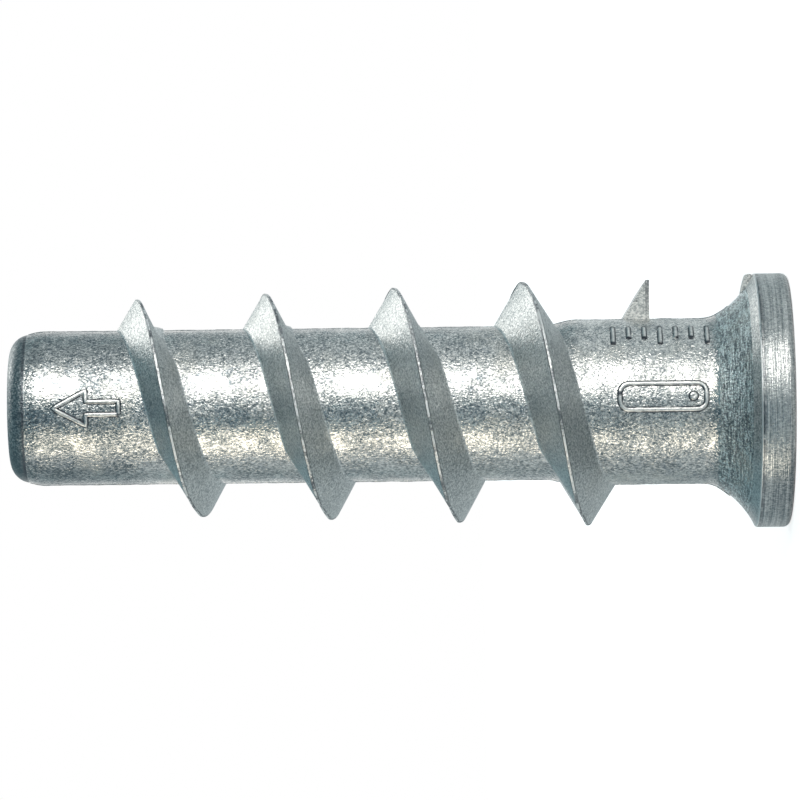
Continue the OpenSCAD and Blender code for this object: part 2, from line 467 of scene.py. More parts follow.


# %% [markdown]
# The body has the plain cast finish. The two sides of the thread are smoother, and the
# side that faces the tip is a copy of that finish painted lighter, as painted light. The rim
# shows streaks round it, the flare is rough with its grain drawn out round the axis, the
# rounded tip is dark and even, and the flat end is dull, so that it does not turn into a
# mirror when it is seen edge-on. Rim and tip are painted darker on their undersides, as
# painted shade. Where a tool cut or broke the casting it is pale and dull, and the raised
# marks are a lighter zinc.

# %% The finishes
CAST_ZINC = zinc("cast_zinc")
FLANK_ZINC = zinc("flank_zinc", grain=0.9, roughness=0.32, mottle=0.3, light=ZINC_COOL)
# The flank finish painted lighter, as painted light on the flank that faces the tip.
LIT_FLANK_ZINC = zinc("lit_flank_zinc", grain=0.9, roughness=0.32, mottle=0.3, dull=-0.16,
                 light=ZINC_COOL)
RIM_ZINC = zinc("rim_zinc", grain=0.35, roughness=0.22, streaks=1.2, mottle=0.2, dull=0.15,
                underside=0.20, light=ZINC_COOL)
FLARE_ZINC = zinc("flare_zinc", grain=1.9, roughness=0.32, streaks=3.0, stroke=7.0,
                  mottle=0.6, dull=-0.05, light=ZINC_TEAL)
TIP_ZINC = zinc("tip_zinc", grain=0.8, roughness=0.34, mottle=0.3, dull=0.30,
                underside=0.10, light=ZINC_COOL)
END_ZINC = zinc("end_zinc", grain=0.8, roughness=0.60, mottle=0.3, dull=0.30,
                edge_tint=0.3, light=ZINC_COOL)
TRIM_ZINC = zinc("trim_zinc", grain=1.6, roughness=0.58, mottle=0.3, dull=-0.34, metal=0.2)
MARK_ZINC = zinc("mark_zinc", grain=0.3, roughness=0.34, mottle=0.1, dull=-0.25)

# %% [markdown]
# ## The fine thread in the bore
# Behind the socket the bore carries an M8 thread. The CAD model has a plain bore at the
# thread's core diameter. The groove could be cut out of it, but a bore with a thread is
# also just a wall whose radius goes in and out along a helix. So a flat grid is rolled up:
# every turn of the thread takes four rows, at 0, 1/4, 9/16 and 11/16 of its rise, the
# rows climb by one rise as they go round, and the last column lands on the first one of
# the next turn. At both ends the rows are stopped at the bore's length and the groove
# runs out. Each point of a grid has a number, and its row and column follow from that.
# In the formulas, g holds the sizes that are given to the tree.

# %% A grid laid round the axis
def flat_grid(tree, rows, columns):
    """A grid, and the row and the column of each of its points."""
    grid = add_node(tree, "GeometryNodeMeshGrid", {"Vertices X": rows, "Vertices Y": columns})
    index = Figure(add_node(tree, "GeometryNodeInputIndex"))
    row = whole((index + 0.5) / columns)
    return grid, row, index - row * columns


def put_round(tree, grid, radius, angle, height):
    """Moves each point to its place round the axis, given in millimetres."""
    spot = join(tree, radius * reckon("COSINE", angle) * MM,
                radius * reckon("SINE", angle) * MM, height * MM)
    return add_node(tree, "GeometryNodeSetPosition", {"Geometry": grid, "Position": spot})


print("a millimetre is", MM, "m, the unit of the mesh")

# %% Grow the threaded bore
SEGMENTS = 192
BORE_R = 3.4
BORE_START, BORE_END = 15.65, 54.0
bore_inputs = {
    "Segments": SEGMENTS, "Turns": 33, "Radius": BORE_R, "Groove Depth": 0.6,
    "Rise": 1.25, "Start": BORE_START, "End": BORE_END}


def bore_tree():
    tree, entry, g = new_tree("threaded_bore", bore_inputs)
    grid, row, column = flat_grid(tree, g["Turns"] * 4, g["Segments"] + 1)
    turn_share = column / g["Segments"]
    step = remainder(row, 4)
    outer = above(step, 1.5)
    rung = step / 4 + outer / 16 - above(step, 2.5) / 8
    climb = whole((row + 0.5) / 4) + rung + turn_share - 1
    height = between(g["Start"] + g["Rise"] * climb, g["Start"], g["End"])
    fade = (least((height - g["Start"]) / g["Rise"], 1)
            * least((g["End"] - height) / g["Rise"], 1))
    radius = g["Radius"] + g["Groove Depth"] * outer * fade
    close_tree(tree, entry, put_round(tree, grid, radius, turn_share * math.tau, height))
    return tree


bore_wall = grow("bore_wall", bore_tree(), bore_inputs, CAST_ZINC)

# %% [markdown]
# ## The turned body
# Nose, core, neck, flare and flange are round, so one outline turned about the axis gives
# them all. Spin or Screw would do it, but the socket is a hexagon, and rings whose radius
# may depend on the angle make the round outside and the hexagon in one closed skin. On a
# real casting no edge is a knife's edge, so each corner of the outline is softened a
# little before it is turned.

# %% The outline of the outside
CORE_R, NECK_R, RIM_R = 5.9, 6.35, 9.79
LENGTH = 60.0
NECK_LENGTH, NECK_CONE = 16.7, 1.8
RIM_HEIGHT, RIM_EDGE, RIM_WEAR = 2.6, 0.5, 0.11
FLARE_R, BLEND_R, BLEND_ANGLE = 7.1, 2.3, math.radians(30)
TIP_ROUND, TIP_WIDTH, TIP_TAPER, TIP_TAPER_LENGTH = 1.4, 1.6, 0.2, 0.9


def arc(centre, radius, start, end, steps=14):
    """Points of an arc, as radius and height, without softening."""
    angles = [start + (end - start) * i / steps for i in range(steps + 1)]
    return [(centre[0] + radius * math.cos(a), centre[1] + radius * math.sin(a), 0)
            for a in angles]


def outside():
    """The outline from the tip's centre to the edge of the head's end face. The third
    figure of a point is how far its corner is softened."""
    tip_r = (TIP_ROUND ** 2 + TIP_WIDTH ** 2) / (2 * TIP_ROUND)
    edge = math.atan2(tip_r - TIP_ROUND, TIP_WIDTH)
    tip = arc((CORE_R - TIP_TAPER - TIP_WIDTH, LENGTH - tip_r), tip_r, math.pi / 2, edge)
    flare_x = NECK_R + BLEND_R * (1 - math.cos(BLEND_ANGLE)) + FLARE_R * math.cos(BLEND_ANGLE)
    rim_angle = math.acos((flare_x - RIM_R) / FLARE_R)
    flare_z = RIM_HEIGHT + FLARE_R * math.sin(rim_angle)
    blend_z = flare_z + (BLEND_R - FLARE_R) * math.sin(BLEND_ANGLE)
    blend = arc((NECK_R + BLEND_R, blend_z), BLEND_R, math.pi, math.pi + BLEND_ANGLE, 10)
    flare = arc((flare_x, flare_z), FLARE_R, math.pi + BLEND_ANGLE, math.pi + rim_angle, 18)
    return (tip[:-1] + [(tip[-1][0], tip[-1][1], 0.10)]
            + [(CORE_R, LENGTH - TIP_ROUND - TIP_TAPER_LENGTH, 0.5),
               (CORE_R, NECK_LENGTH + NECK_CONE, 0.6), (NECK_R, NECK_LENGTH, 0.6)]
            + blend + flare[1:-1]
            + [(RIM_R, RIM_HEIGHT, RIM_WEAR), (RIM_R, RIM_HEIGHT - 0.4, 0)]
            + arc((RIM_R - RIM_EDGE, RIM_EDGE), RIM_EDGE, 0, -math.pi / 2, 8))


def soften(points, steps=4):
    """Replaces each marked corner by a short curve."""
    made = []
    for i, (r, z, cut) in enumerate(points):
        here = Vector((r, z))
        if not cut:
            made.append(here)
            continue
        before = (Vector(points[i - 1][:2]) - here).normalized() * cut + here
        after = (Vector(points[i + 1][:2]) - here).normalized() * cut + here
        for k in range(steps + 1):
            t = k / steps
            made.append(before * (1 - t) ** 2 + here * 2 * t * (1 - t) + after * t ** 2)
    return made


outline = soften(outside())
print("outline:", len(outline), "points, from z", round(outline[0].y, 2), "to", outline[-1].y)

# %% [markdown]
# ## The hexagon socket and the skin of the body
# The key's socket is 8.1 mm across flats. Its mouth has a chamfer, and where the cone of
# the chamfer meets the flat walls the edge dips in the middle of each wall. A ring whose
# height depends on its own radius gives that edge exactly.

# %% Turn the rings and join the bore
SOCKET_FLAT_R = 8.1 / 2
SOCKET_DEPTH = 15.0
MOUTH_R = 5.1
MOUTH_OUT, MOUTH_IN, MOUTH_LOW = 0.08, 0.05, 0.06
BELOW_EDGE, ABOVE_FLOOR, FLOOR_CORNER = 0.12, 0.1, 0.01
DRILL_DEPTH = 1.96
SHARP_BODY = math.radians(28)


def hexagon(angle):
    """Distance from the axis to the socket's wall, with a corner at angle 0."""
    return SOCKET_FLAT_R / math.cos(angle % math.radians(60) - math.radians(30))


def ring(radius, height):
    """The points of one ring. Radius and height may be functions of the angle."""
    made = []
    for i in range(SEGMENTS):
        angle = math.tau * i / SEGMENTS
        r = radius(angle) if callable(radius) else radius
        z = height(angle) if callable(height) else height
        made.append((r * math.cos(angle) * MM, r * math.sin(angle) * MM, z * MM))
    return made


def mouth_edge(angle, deeper=0.0):
    """Height at which the mouth's cone meets the socket's wall."""
    return MOUTH_R - hexagon(angle) + deeper


rings = [ring(p.x, p.y) for p in outline]
rings += [ring(MOUTH_R + MOUTH_OUT, 0), ring(MOUTH_R - MOUTH_IN, MOUTH_LOW),
          ring(hexagon, mouth_edge),
          ring(hexagon, lambda angle: mouth_edge(angle, BELOW_EDGE)),
          ring(hexagon, SOCKET_DEPTH - ABOVE_FLOOR), ring(hexagon, SOCKET_DEPTH),
          ring(SOCKET_FLAT_R - FLOOR_CORNER, SOCKET_DEPTH + FLOOR_CORNER),
          ring(BORE_R, BORE_START)]


def skin(name, chain, poles, extra):
    """One mesh from a chain of rings, poles that close a ring, and a mesh made before."""
    shape = bmesh.new()
    shape.from_mesh(extra)
    rows = [[shape.verts.new(p) for p in points] for points in chain]
    for upper, lower in zip(rows, rows[1:]):
        for i in range(SEGMENTS):
            k = (i + 1) % SEGMENTS
            shape.faces.new((upper[i], upper[k], lower[k], lower[i]))
    for points, pole in poles:
        centre = shape.verts.new(pole)
        row = [shape.verts.new(p) for p in points]
        for i in range(SEGMENTS):
            shape.faces.new((row[i], row[(i + 1) % SEGMENTS], centre))
    return piece_from(shape, name)


tip_pole = (rings[0], (0, 0, LENGTH * MM))
drill_pole = (ring(BORE_R, BORE_END), (0, 0, (BORE_END + DRILL_DEPTH) * MM))
body = skin("anchor_body", rings, [tip_pole, drill_pole], bore_wall.data)
body.data.set_sharp_from_angle(angle=SHARP_BODY)
bpy.data.objects.remove(bore_wall)

# %% [markdown]
# The body is one casting, but not one finish: rim, flare, the flare's smooth edge, the
# rounded tip and the flat end have their own. Slots on one mesh keep the body a single
# piece.

# %% Give the zones their finishes
ZONES = {"plain": CAST_ZINC, "rim": RIM_ZINC, "flare": FLARE_ZINC, "flare edge": FLANK_ZINC,
         "tip": TIP_ZINC, "flat end": END_ZINC}
FLARE_FROM, FLARE_TO, HAIR = 3.2, 5.6, 0.02


def zone_of(centre):
    away = math.hypot(centre.x, centre.y)
    if centre.z > LENGTH - TIP_ROUND:
        return "flat end" if away < CORE_R - TIP_TAPER - TIP_WIDTH else "tip"
    if centre.z < RIM_HEIGHT + HAIR and away > RIM_R - RIM_EDGE:
        return "rim"
    if centre.z < FLARE_FROM and away > NECK_R:
        return "flare edge"
    return "flare" if centre.z < FLARE_TO and away > NECK_R + HAIR else "plain"


for finish in ZONES.values():
    body.data.materials.append(finish)
faces_in = dict.fromkeys(ZONES, 0)
for face in body.data.polygons:
    zone = zone_of(face.center / MM)
    face.use_smooth = True
    face.material_index = list(ZONES).index(zone)
    faces_in[zone] += 1
print("faces in each zone:", faces_in)

# %% [markdown]
# The two edges round the tip and at the flange get a bright line, partly wear where other
# parts rub and partly a painted highlight, with a thin dark line of painted shade beside it.
# A second mesh for such lines would show its own edges, so two figures on the body's
# points, one for the bright line and one for the dark line, tell the material where they
# are. Each line lies a little past its edge and has a reach to both sides of that.

# %% Worn edges with painted highlights, and painted shade
WORN_AND_HIGHLIGHT_LEVEL, EDGE_SHADE_LEVEL = 1.12, 1.0
TIP_WORN_AND_HIGHLIGHT, TIP_EDGE_SHADE = (0.0, 0.03), (0.13, 0.08)
RIM_WORN_AND_HIGHLIGHT, RIM_EDGE_SHADE = (0.0, RIM_WEAR - 0.02), (-RIM_WEAR, 0.02)
TIP_EDGE, TIP_EDGE_WIDE, RIM_OUTSIDE = CORE_R - 0.3, CORE_R - 0.5, RIM_R - 0.2


def on_line(past, line_at):
    return abs(past - line_at[0]) < line_at[1]


worn_and_highlight_figure = body.data.attributes.new("worn_and_highlight", "FLOAT", "POINT")
edge_shade_figure = body.data.attributes.new("edge_shade", "FLOAT", "POINT")
for vertex in body.data.vertices:
    z, away = vertex.co.z / MM, math.hypot(vertex.co.x, vertex.co.y) / MM
    past_tip, past_rim = z - (LENGTH - TIP_ROUND), z - RIM_HEIGHT
    # Bright line: wear and a painted highlight. Dark line: painted shade.
    worn_and_highlighted = (away > TIP_EDGE and on_line(past_tip, TIP_WORN_AND_HIGHLIGHT)
              or away > RIM_OUTSIDE and on_line(past_rim, RIM_WORN_AND_HIGHLIGHT))
    edge_shaded = (away > TIP_EDGE_WIDE and on_line(past_tip, TIP_EDGE_SHADE)
             or away > RIM_OUTSIDE and on_line(past_rim, RIM_EDGE_SHADE))
    worn_and_highlight_figure.data[vertex.index].value = WORN_AND_HIGHLIGHT_LEVEL * worn_and_highlighted
    edge_shade_figure.data[vertex.index].value = EDGE_SHADE_LEVEL * edge_shaded
print("points rubbed:", sum(point.value > 0 for point in worn_and_highlight_figure.data))

# %% [markdown]
# ## The coarse thread
# This is the anchor's main feature: a sharp ridge that winds four times round the body.
# A profile swept along a spiral would be quick, but the real ridge changes as it goes: it
# grows from the nose to the head, both ends are cut square in the parting plane, and its
# flanks are cut back near that plane, because the two die halves are pulled off sideways
# and an overhanging helix would hold them. So again a grid is laid round the axis, and
# formulas say for every point how far out and how far along it lies. A row is one place
# along the ridge, a column one line that follows it: the crest in the middle, then a
# flank on each side, a small fillet where it meets the body, and a strip that closes the
# ridge inside the body.

# %% Sizes of the coarse thread
THREAD = {
    "Steps per Turn": 180, "Columns": 61, "Turns": 4,
    "Rise": 9.9, "End": 10.6, "Start Radius": 8.35, "End Radius": 9.7,
    "Slope": math.tan(math.radians(31)), "Crest Width": 0.16, "Crest Edge": 0.03,
    "Crest Round": 0.012, "End Drop": 0.28, "Drop Arc": 40 / 360,
    "Core": CORE_R, "Neck": NECK_R, "Cone Top": NECK_LENGTH + NECK_CONE,
    "Cone": NECK_CONE, "Root Depth": 0.5, "Fillet": 0.09,
    "Foot Rise": 0.3, "Foot Reach": 0.55, "Setback": 0.25, "Relief Arc": 45 / 360,
    "Wear": 0.06, "Nicks per Turn": 30.0}
print("thread: from z", THREAD["End"] + THREAD["Rise"] * THREAD["Turns"], "to", THREAD["End"])

# %% [markdown]
# Along the ridge, everything is counted in turns from its start at the nose. Since and
# until are the parts of a turn from the last crossing of the parting plane and to the
# next. The crest sinks a little at the very end, and wear has taken nicks out of it.

# %% Along the ridge
NICKS_ABOVE = 0.9


def along_the_ridge(tree, g, row):
    last_station = g["Turns"] * g["Steps per Turn"]
    turns = between(row - 1, 0, last_station) / g["Steps per Turn"]
    half = least(whole(turns * 2 + 0.001), g["Turns"] * 2 - 1)
    since = turns - half / 2
    full_r = g["Start Radius"] + (g["End Radius"] - g["Start Radius"]) * turns / g["Turns"]
    dropped = g["End Drop"] * most(1 - (g["Turns"] - turns) / g["Drop Arc"], 0)
    nicks = noise(tree, join(tree, turns * g["Nicks per Turn"]), 1.0, 4.0)
    worn_off = g["Wear"] * most(nicks * 2 - NICKS_ABOVE, 0)
    return SimpleNamespace(
        turns=turns, half=half, since=since, until=0.5 - since, full_r=full_r,
        crest_z=g["End"] + g["Rise"] * (g["Turns"] - turns),
        top=full_r - dropped - worn_off)


print("the crest grows from", THREAD["Start Radius"], "to", THREAD["End Radius"], "mm")


# %% [markdown]
# Across the ridge, a point is 0 at the crest and 1 at the closing strip, on both sides.
# The first tenth is the crest, the last one the strip, and the flank lies between them.
# It ends on the body, which is wider on the neck. In the last stretch before the parting
# plane the crest itself is held, so there the shoulder is lowered.

# %% Across the ridge
CREST_SHARE, STRIP_SHARE = 0.1, 0.1
FLANK_SHARE = 1 - CREST_SHARE - STRIP_SHARE


def held_in_die(g, turned, radius):
    """How far the flank would hold the die at a part of a turn from the parting plane."""
    return g["Rise"] * turned - g["Slope"] * radius * (1 - reckon("COSINE", turned * math.tau))


def across_the_ridge(g, at, column):
    across = abs(column * 2 / (g["Columns"] - 1) - 1)
    tip_side = above(g["Columns"] / 2 - 0.5, column)
    side = tip_side * 2 - 1
    down = between((across - CREST_SHARE) / FLANK_SHARE, 0, 1)
    foot_z = at.crest_z + side * (at.full_r - g["Core"]) * g["Slope"]
    widened = between((g["Cone Top"] - foot_z) / g["Cone"], 0, 1)
    base = g["Core"] + (g["Neck"] - g["Core"]) * widened
    crest_held = held_in_die(g, at.until, at.top)
    past_crest = most(crest_held - g["Crest Width"] + g["Crest Edge"], 0)
    shoulder = at.top - g["Crest Round"] - past_crest / (g["Slope"] * 2)
    descent = down * down * (3 - down * 2)
    return SimpleNamespace(
        across=across, tip_side=tip_side, side=side, base=base, shoulder=shoulder,
        descent=descent, flank_r=shoulder - (shoulder - base) * descent,
        on_crest=between(across / CREST_SHARE, 0, 1),
        sunk=between((across - (1 - STRIP_SHARE)) / STRIP_SHARE, 0, 1))


print("the flank takes", round(FLANK_SHARE, 2), "of each side")


# %% [markdown]
# Each flank is cut back by as much as it would hold the die. On the near half the flank
# on the head's side also leaves a foot and is set back above it, less with each turn. The
# last turn, over the neck, has neither.

# %% Relief for the die
FOOT_EDGE = 0.08


def relief_cut(g, at, p):
    turned = p.tip_side * at.until + (1 - p.tip_side) * at.since
    held = most(held_in_die(g, turned, p.flank_r), 0)
    in_last_turn = above(at.half, g["Turns"] * 2 - 2.5)
    near_half = above(0.5, remainder(at.half, 2))
    share = (near_half * most(1 - at.since / g["Relief Arc"], 0)
             * most(1 - at.half / (g["Turns"] * 2 - 2), 0))
    foot_r = p.base + g["Foot Rise"]
    in_foot = between((foot_r + FOOT_EDGE - p.flank_r) / (FOOT_EDGE * 2), 0, 1)
    set_back = g["Setback"] * between(
        (p.shoulder - p.flank_r) / (p.shoulder - foot_r), 0, 1)
    head_cut = (held * p.descent * (1 - in_last_turn)
                + share * (set_back * (1 - in_foot) - g["Foot Reach"] * in_foot))
    return p.tip_side * held + (1 - p.tip_side) * head_cut


print("the foot reaches out by", THREAD["Foot Reach"], "mm")


# %% [markdown]
# The tree puts the three together: half the ridge's width at the point, with the fillet
# at its foot, gives the height, and the flank gives the radius. The first and the last
# row are drawn together to one point inside the body, which closes the ends. The crest
# is marked with a thin bright line, partly wear and partly a painted highlight, and the
# foot on the tip's side with a painted highlight; both are broken by noise. Where the crest
# is not bright, its edges carry a dark line of painted shade.

# %% The tree of the coarse thread
CAP_DEPTH, CAP_LIFT = 0.25, 0.3
WORN_AND_HIGHLIGHT_TO, EDGE_SHADE_TO, FOOT_HIGHLIGHT = 0.12, 0.18, (0.82, 0.88)


def coarse_thread_tree():
    tree, entry, g = new_tree("coarse_thread", THREAD)
    rows = g["Turns"] * g["Steps per Turn"] + 3
    grid, row, column = flat_grid(tree, rows, g["Columns"] + 1)
    cap = above(0.5, row) + above(row, rows - 1.5)

    at = along_the_ridge(tree, g, row)
    p = across_the_ridge(g, at, remainder(column, g["Columns"]))
    width = (g["Crest Width"] / 2 + (at.full_r - p.flank_r) * g["Slope"]
             - relief_cut(g, at, p)) * p.on_crest
    low = 1 - between((p.flank_r - p.base) / g["Fillet"], 0, 1)
    width = width + g["Fillet"] * low * low
    rounding = g["Crest Round"] * (1 - p.on_crest * p.on_crest)
    radius = p.flank_r + rounding - g["Root Depth"] * p.sunk
    height = most(at.crest_z + p.side * width, g["End"])
    radius = radius + (g["Core"] - CAP_DEPTH - radius) * cap
    height = height + (at.crest_z + CAP_LIFT - height) * cap
    placed = put_round(tree, grid, radius, at.turns * -math.tau, height)

    # A painted highlight along the foot of the flank on the tip's side.
    foot_highlight = p.tip_side * above(p.across, FOOT_HIGHLIGHT[0]) * above(FOOT_HIGHLIGHT[1], p.across)
    worn_and_highlight = paint(tree, placed, "worn_and_highlight", above(WORN_AND_HIGHLIGHT_TO, p.across) + foot_highlight)
    # Painted shade: a dark line along the crest's edges.
    close_tree(tree, entry, paint(tree, worn_and_highlight, "edge_shade", above(EDGE_SHADE_TO, p.across)))
    return tree


# %% [markdown]
# The two flanks have their own finishes: the one that faces the tip is painted lighter, as
# painted light. The square ends lie in the parting plane, so their faces are found by that,
# and they get the pale trim.

# %% The coarse thread
TRIM_SLOT, LIT_FLANK_SLOT = 1, 2
ON_PLANE = 0.001 * MM
FACES_TIP = 0.3
SHARP_THREAD = math.radians(30)

thread = grow("coarse_thread", coarse_thread_tree(), THREAD, FLANK_ZINC)
close_up(thread.data)
thread.data.set_sharp_from_angle(angle=SHARP_THREAD)
thread.data.materials.append(TRIM_ZINC)
thread.data.materials.append(LIT_FLANK_ZINC)
for face in thread.data.polygons:
    face.use_smooth = True
    if all(abs(thread.data.vertices[v].co.y) < ON_PLANE for v in face.vertices):
        face.material_index = TRIM_SLOT
    # Faces towards the tip get the copy painted lighter, as painted light.
    elif face.normal.z > FACES_TIP:
        face.material_index = LIT_FLANK_SLOT

# %% [markdown]
# ## Raised lines
# Two things on the casting are thin raised lines: the seam that the die leaves where its
# halves meet, on both sides of the body, and the raised marks. Both are a path on the
# surface with a round rib on it, sunk by more than half. A tree turns any path of edges
# into such a rib, and lets its thickness waver, because metal that squeezes into a gap
# never does so evenly. The rib's steep sides are marked for painted shade, a dark line
# along its foot.

# %% The tree of a raised line
RIB_CORNERS = 16
FOOT_FROM, FOOT_FADE = 0.95, 0.2


def raised_line_tree(inputs):
    tree, entry, g = new_tree("raised_line", inputs)
    path = add_node(tree, "GeometryNodeMeshToCurve", {"Mesh": entry.outputs["Geometry"]})
    place = add_node(tree, "GeometryNodeInputPosition")
    wave = noise(tree, place, g["Waves per Metre"])
    swell = 1 + (wave - 0.5) * 2 * g["Waver"]
    profile = add_node(tree, "GeometryNodeCurvePrimitiveCircle", {
        "Resolution": RIB_CORNERS, "Radius": g["Rib Radius"]})
    line = add_node(tree, "GeometryNodeCurveToMesh", {
        "Curve": path, "Profile Curve": profile, "Scale": swell, "Fill Caps": True})
    flattened = vector_node(tree, "MULTIPLY", place, (1.0, 1.0, 0.0))
    outward = vector_node(tree, "NORMALIZE", flattened)
    facing = Figure(vector_node(tree, "DOT_PRODUCT", outward,
                                add_node(tree, "GeometryNodeInputNormal")), "Value")
    # Painted shade on the sides of the rib that turn away from the outside.
    foot = between((FOOT_FROM - facing) / FOOT_FADE, 0, 1)
    close_tree(tree, entry, paint(tree, line, "edge_shade", foot * g["Edge Shade"]))
    return tree


def rib(name, paths, radius, waver, edge_shade, material):
    """A raised line along each path, a list of points in metres."""
    mesh = bpy.data.meshes.new(name + "_path")
    points, edges = [], []
    for path in paths:
        edges += [(len(points) + i, len(points) + i + 1) for i in range(len(path) - 1)]
        points += path
    mesh.from_pydata(points, edges, [])
    inputs = {"Rib Radius": radius * MM, "Waver": waver, "Waves per Metre": 900.0,
              "Edge Shade": edge_shade}
    piece = grow(name, raised_line_tree(inputs), inputs, material, mesh)
    close_up(piece.data)
    piece.data.shade_smooth()
    return piece


print("a rib has", RIB_CORNERS, "corners round it")

# %% [markdown]
# The seam runs along the outline in the plane y = 0, on both sides. It is a hair above the
# surface, just enough to catch the light.

# %% The parting seam
SEAM_R, SEAM_PROUD, SEAM_STEP, SEAM_END = 0.13, 0.055, 0.4, 4.2


def walk(corners, spacing, fewest=1):
    """Points along straight stretches from corner to corner, without the last corner."""
    path = []
    for a, b in zip(corners, corners[1:]):
        steps = max(fewest, round((a - b).length / spacing))
        path += [a.lerp(b, k / steps) for k in range(steps)]
    return path


def seam_path(side):
    body_line = [p for p in outline if SEAM_END < p.y < LENGTH - TIP_ROUND]
    return [(side * (p.x + SEAM_PROUD - SEAM_R) * MM, 0, p.y * MM)
            for p in walk(body_line, SEAM_STEP)]


seam = rib("parting_seam", [seam_path(1), seam_path(-1)], SEAM_R, 0.5, 0.4, CAST_ZINC)

# %% [markdown]
# Where the metal ran into the die, at the back of the flange and on the same side as the
# seam, a stub was left when the casting was broken off. It is a small wedge with soft
# edges, and its skin is rough like the cut end of the thread.

# %% The stub of the gate
GATE_OUTLINE = [(8.2, 2.7), (9.6, 2.62), (9.76, 2.72), (9.76, 3.10), (9.68, 3.20),
                (8.75, 3.46), (8.2, 3.56)]
GATE_NEAR, GATE_FAR, GATE_SOFT = -0.4, 1.6, 0.06


def gate_stub():
    shape = bmesh.new()
    ends = [[shape.verts.new((x * MM, y * MM, z * MM)) for x, z in GATE_OUTLINE]
            for y in (GATE_NEAR, GATE_FAR)]
    for k in range(len(GATE_OUTLINE)):
        shape.faces.new((ends[0][k - 1], ends[0][k], ends[1][k], ends[1][k - 1]))
    shape.faces.new(ends[0])
    shape.faces.new(reversed(ends[1]))
    bmesh.ops.recalc_face_normals(shape, faces=shape.faces)
    bmesh.ops.bevel(shape, geom=shape.edges, offset=GATE_SOFT * MM, segments=3,
                    affect="EDGES")
    bmesh.ops.triangulate(shape, faces=shape.faces)
    bmesh.ops.subdivide_edges(shape, edges=shape.edges, cuts=2)
    return piece_from(shape, "gate_stub")


gate = gate_stub()
gate.data.materials.append(TRIM_ZINC)
gate.data.shade_smooth()

# %% [markdown]
# The raised marks say nothing here: an arrow to the tip on the nose, and on the neck a row
# of ticks and an empty field with a pip for the die's number. They are laid out flat, with
# one direction along the body and one round it, and then bent onto the cylinder.

# %% The raised marks
MARK_R, MARK_PROUD, MARK_STEP = 0.25, 0.15, 0.3
NEAR_SIDE, UPPER_SIDE = -90, -36
ARROW = [(51.4, -0.5), (53.9, -0.5), (53.9, -1.35), (56.4, 0), (53.9, 1.35), (53.9, 0.5),
         (51.4, 0.5)]
TICKS, FIRST_TICK, TICK_STEP = 7, 6.4, 1.2


def bend_round(points, radius, middle):
    """Flat points, height and distance round the body, put on a cylinder."""
    made = []
    for z, u in points:
        angle = math.radians(middle) + u / radius
        r = (radius + MARK_PROUD - MARK_R) * MM
        made.append((r * math.cos(angle), r * math.sin(angle), z * MM))
    return made


def closed(corners, fewest=1):
    """A line through the corners and back to the first one."""
    corners = [Vector(corner) for corner in corners]
    return walk(corners + corners[:1], MARK_STEP, fewest) + corners[:1]


def tick(number, steps=8):
    """A short line round the body. Every third one is longer."""
    z = FIRST_TICK + TICK_STEP * number
    start, end = Vector((z, -0.5 if number % 3 else -1.1)), Vector((z, 1.0))
    return [start.lerp(end, i / steps) for i in range(steps + 1)]


def field(centre, length, width, corner, steps=6):
    """A closed field with round corners."""
    made = []
    for k, (sz, su) in enumerate([(1, 1), (-1, 1), (-1, -1), (1, -1)]):
        for i in range(steps + 1):
            a = math.pi / 2 * (k + i / steps)
            made.append((centre[0] + sz * (length / 2 - corner) + corner * math.cos(a),
                         centre[1] + su * (width / 2 - corner) + corner * math.sin(a)))
    return closed(made)


marks = rib("raised_marks",
            [bend_round(closed(ARROW, 10), CORE_R, NEAR_SIDE)]
            + [bend_round(tick(k), NECK_R, UPPER_SIDE) for k in range(TICKS)]
            + [bend_round(field((9.9, 0.4), 6.6, 2.0, 0.7), NECK_R, NEAR_SIDE),
               bend_round(field((7.6, 0.4), 0.34, 0.34, 0.16), NECK_R, NEAR_SIDE)],
            MARK_R, 0.12, 1.7, MARK_ZINC)

# %% [markdown]
# ## Light, floor and background
# The photo was lit by a large soft light above the camera, a weaker warm one from below,
# and a light from behind on the tip's side, which the flanks near the top mirror. Spot or
# sun lamps would give hard dots. These lamps are panels, because zinc mirrors their shape
# as the soft bands along the body.

# %% Lamps
PANEL_HEIGHT, PANEL_DISTANCE, PANEL_LIFT = 0.40, 0.55, 0.07


def panel(name, direction, width, strength, colour):
    """A tall soft light beside the anchor. Strength is for each square metre."""
    light = bpy.data.lights.new(name, "AREA")
    light.shape, light.size, light.size_y = "RECTANGLE", width, PANEL_HEIGHT
    light.energy, light.color = strength * width * PANEL_HEIGHT, colour
    lamp = place_object(name, light)
    away = Vector(direction).normalized()
    lamp.location = CAMERA_AIM + away * PANEL_DISTANCE + Vector((0, 0, PANEL_LIFT))
    lamp.rotation_mode = "QUATERNION"
    lamp.rotation_quaternion = away.to_track_quat("Z", "Y")
    lamp.visible_camera = False
    print(name, [round(x, 3) for x in lamp.location])


def from_viewer(up_degrees):
    """Direction of a light as seen from the anchor, counted up from the camera."""
    up = math.radians(up_degrees)
    return (math.sin(up), -math.cos(up), 0.0)


panel("key_panel", from_viewer(35.0), 0.315, 13.8, (1.0, 0.945, 0.88))
panel("warm_panel", from_viewer(-57), 0.185, 9.6, (1.0, 0.87, 0.69))
panel("back_panel", (0.28, 0.70, 0.66), 0.28, 5.25, (1.0, 0.945, 0.89))

# %% [markdown]
# Between the lamps the metal mirrors the room. A plain grey world would make it look
# like plastic, and a picture of a room would tie it to that room, so the world is a room
# in a few soft steps: grey in front and lighter on the tip's side, a dark strip beside
# the camera, which makes the dark band along the body, lighter walls above and below,
# and a glow and a white wall behind. To the camera the world is white.

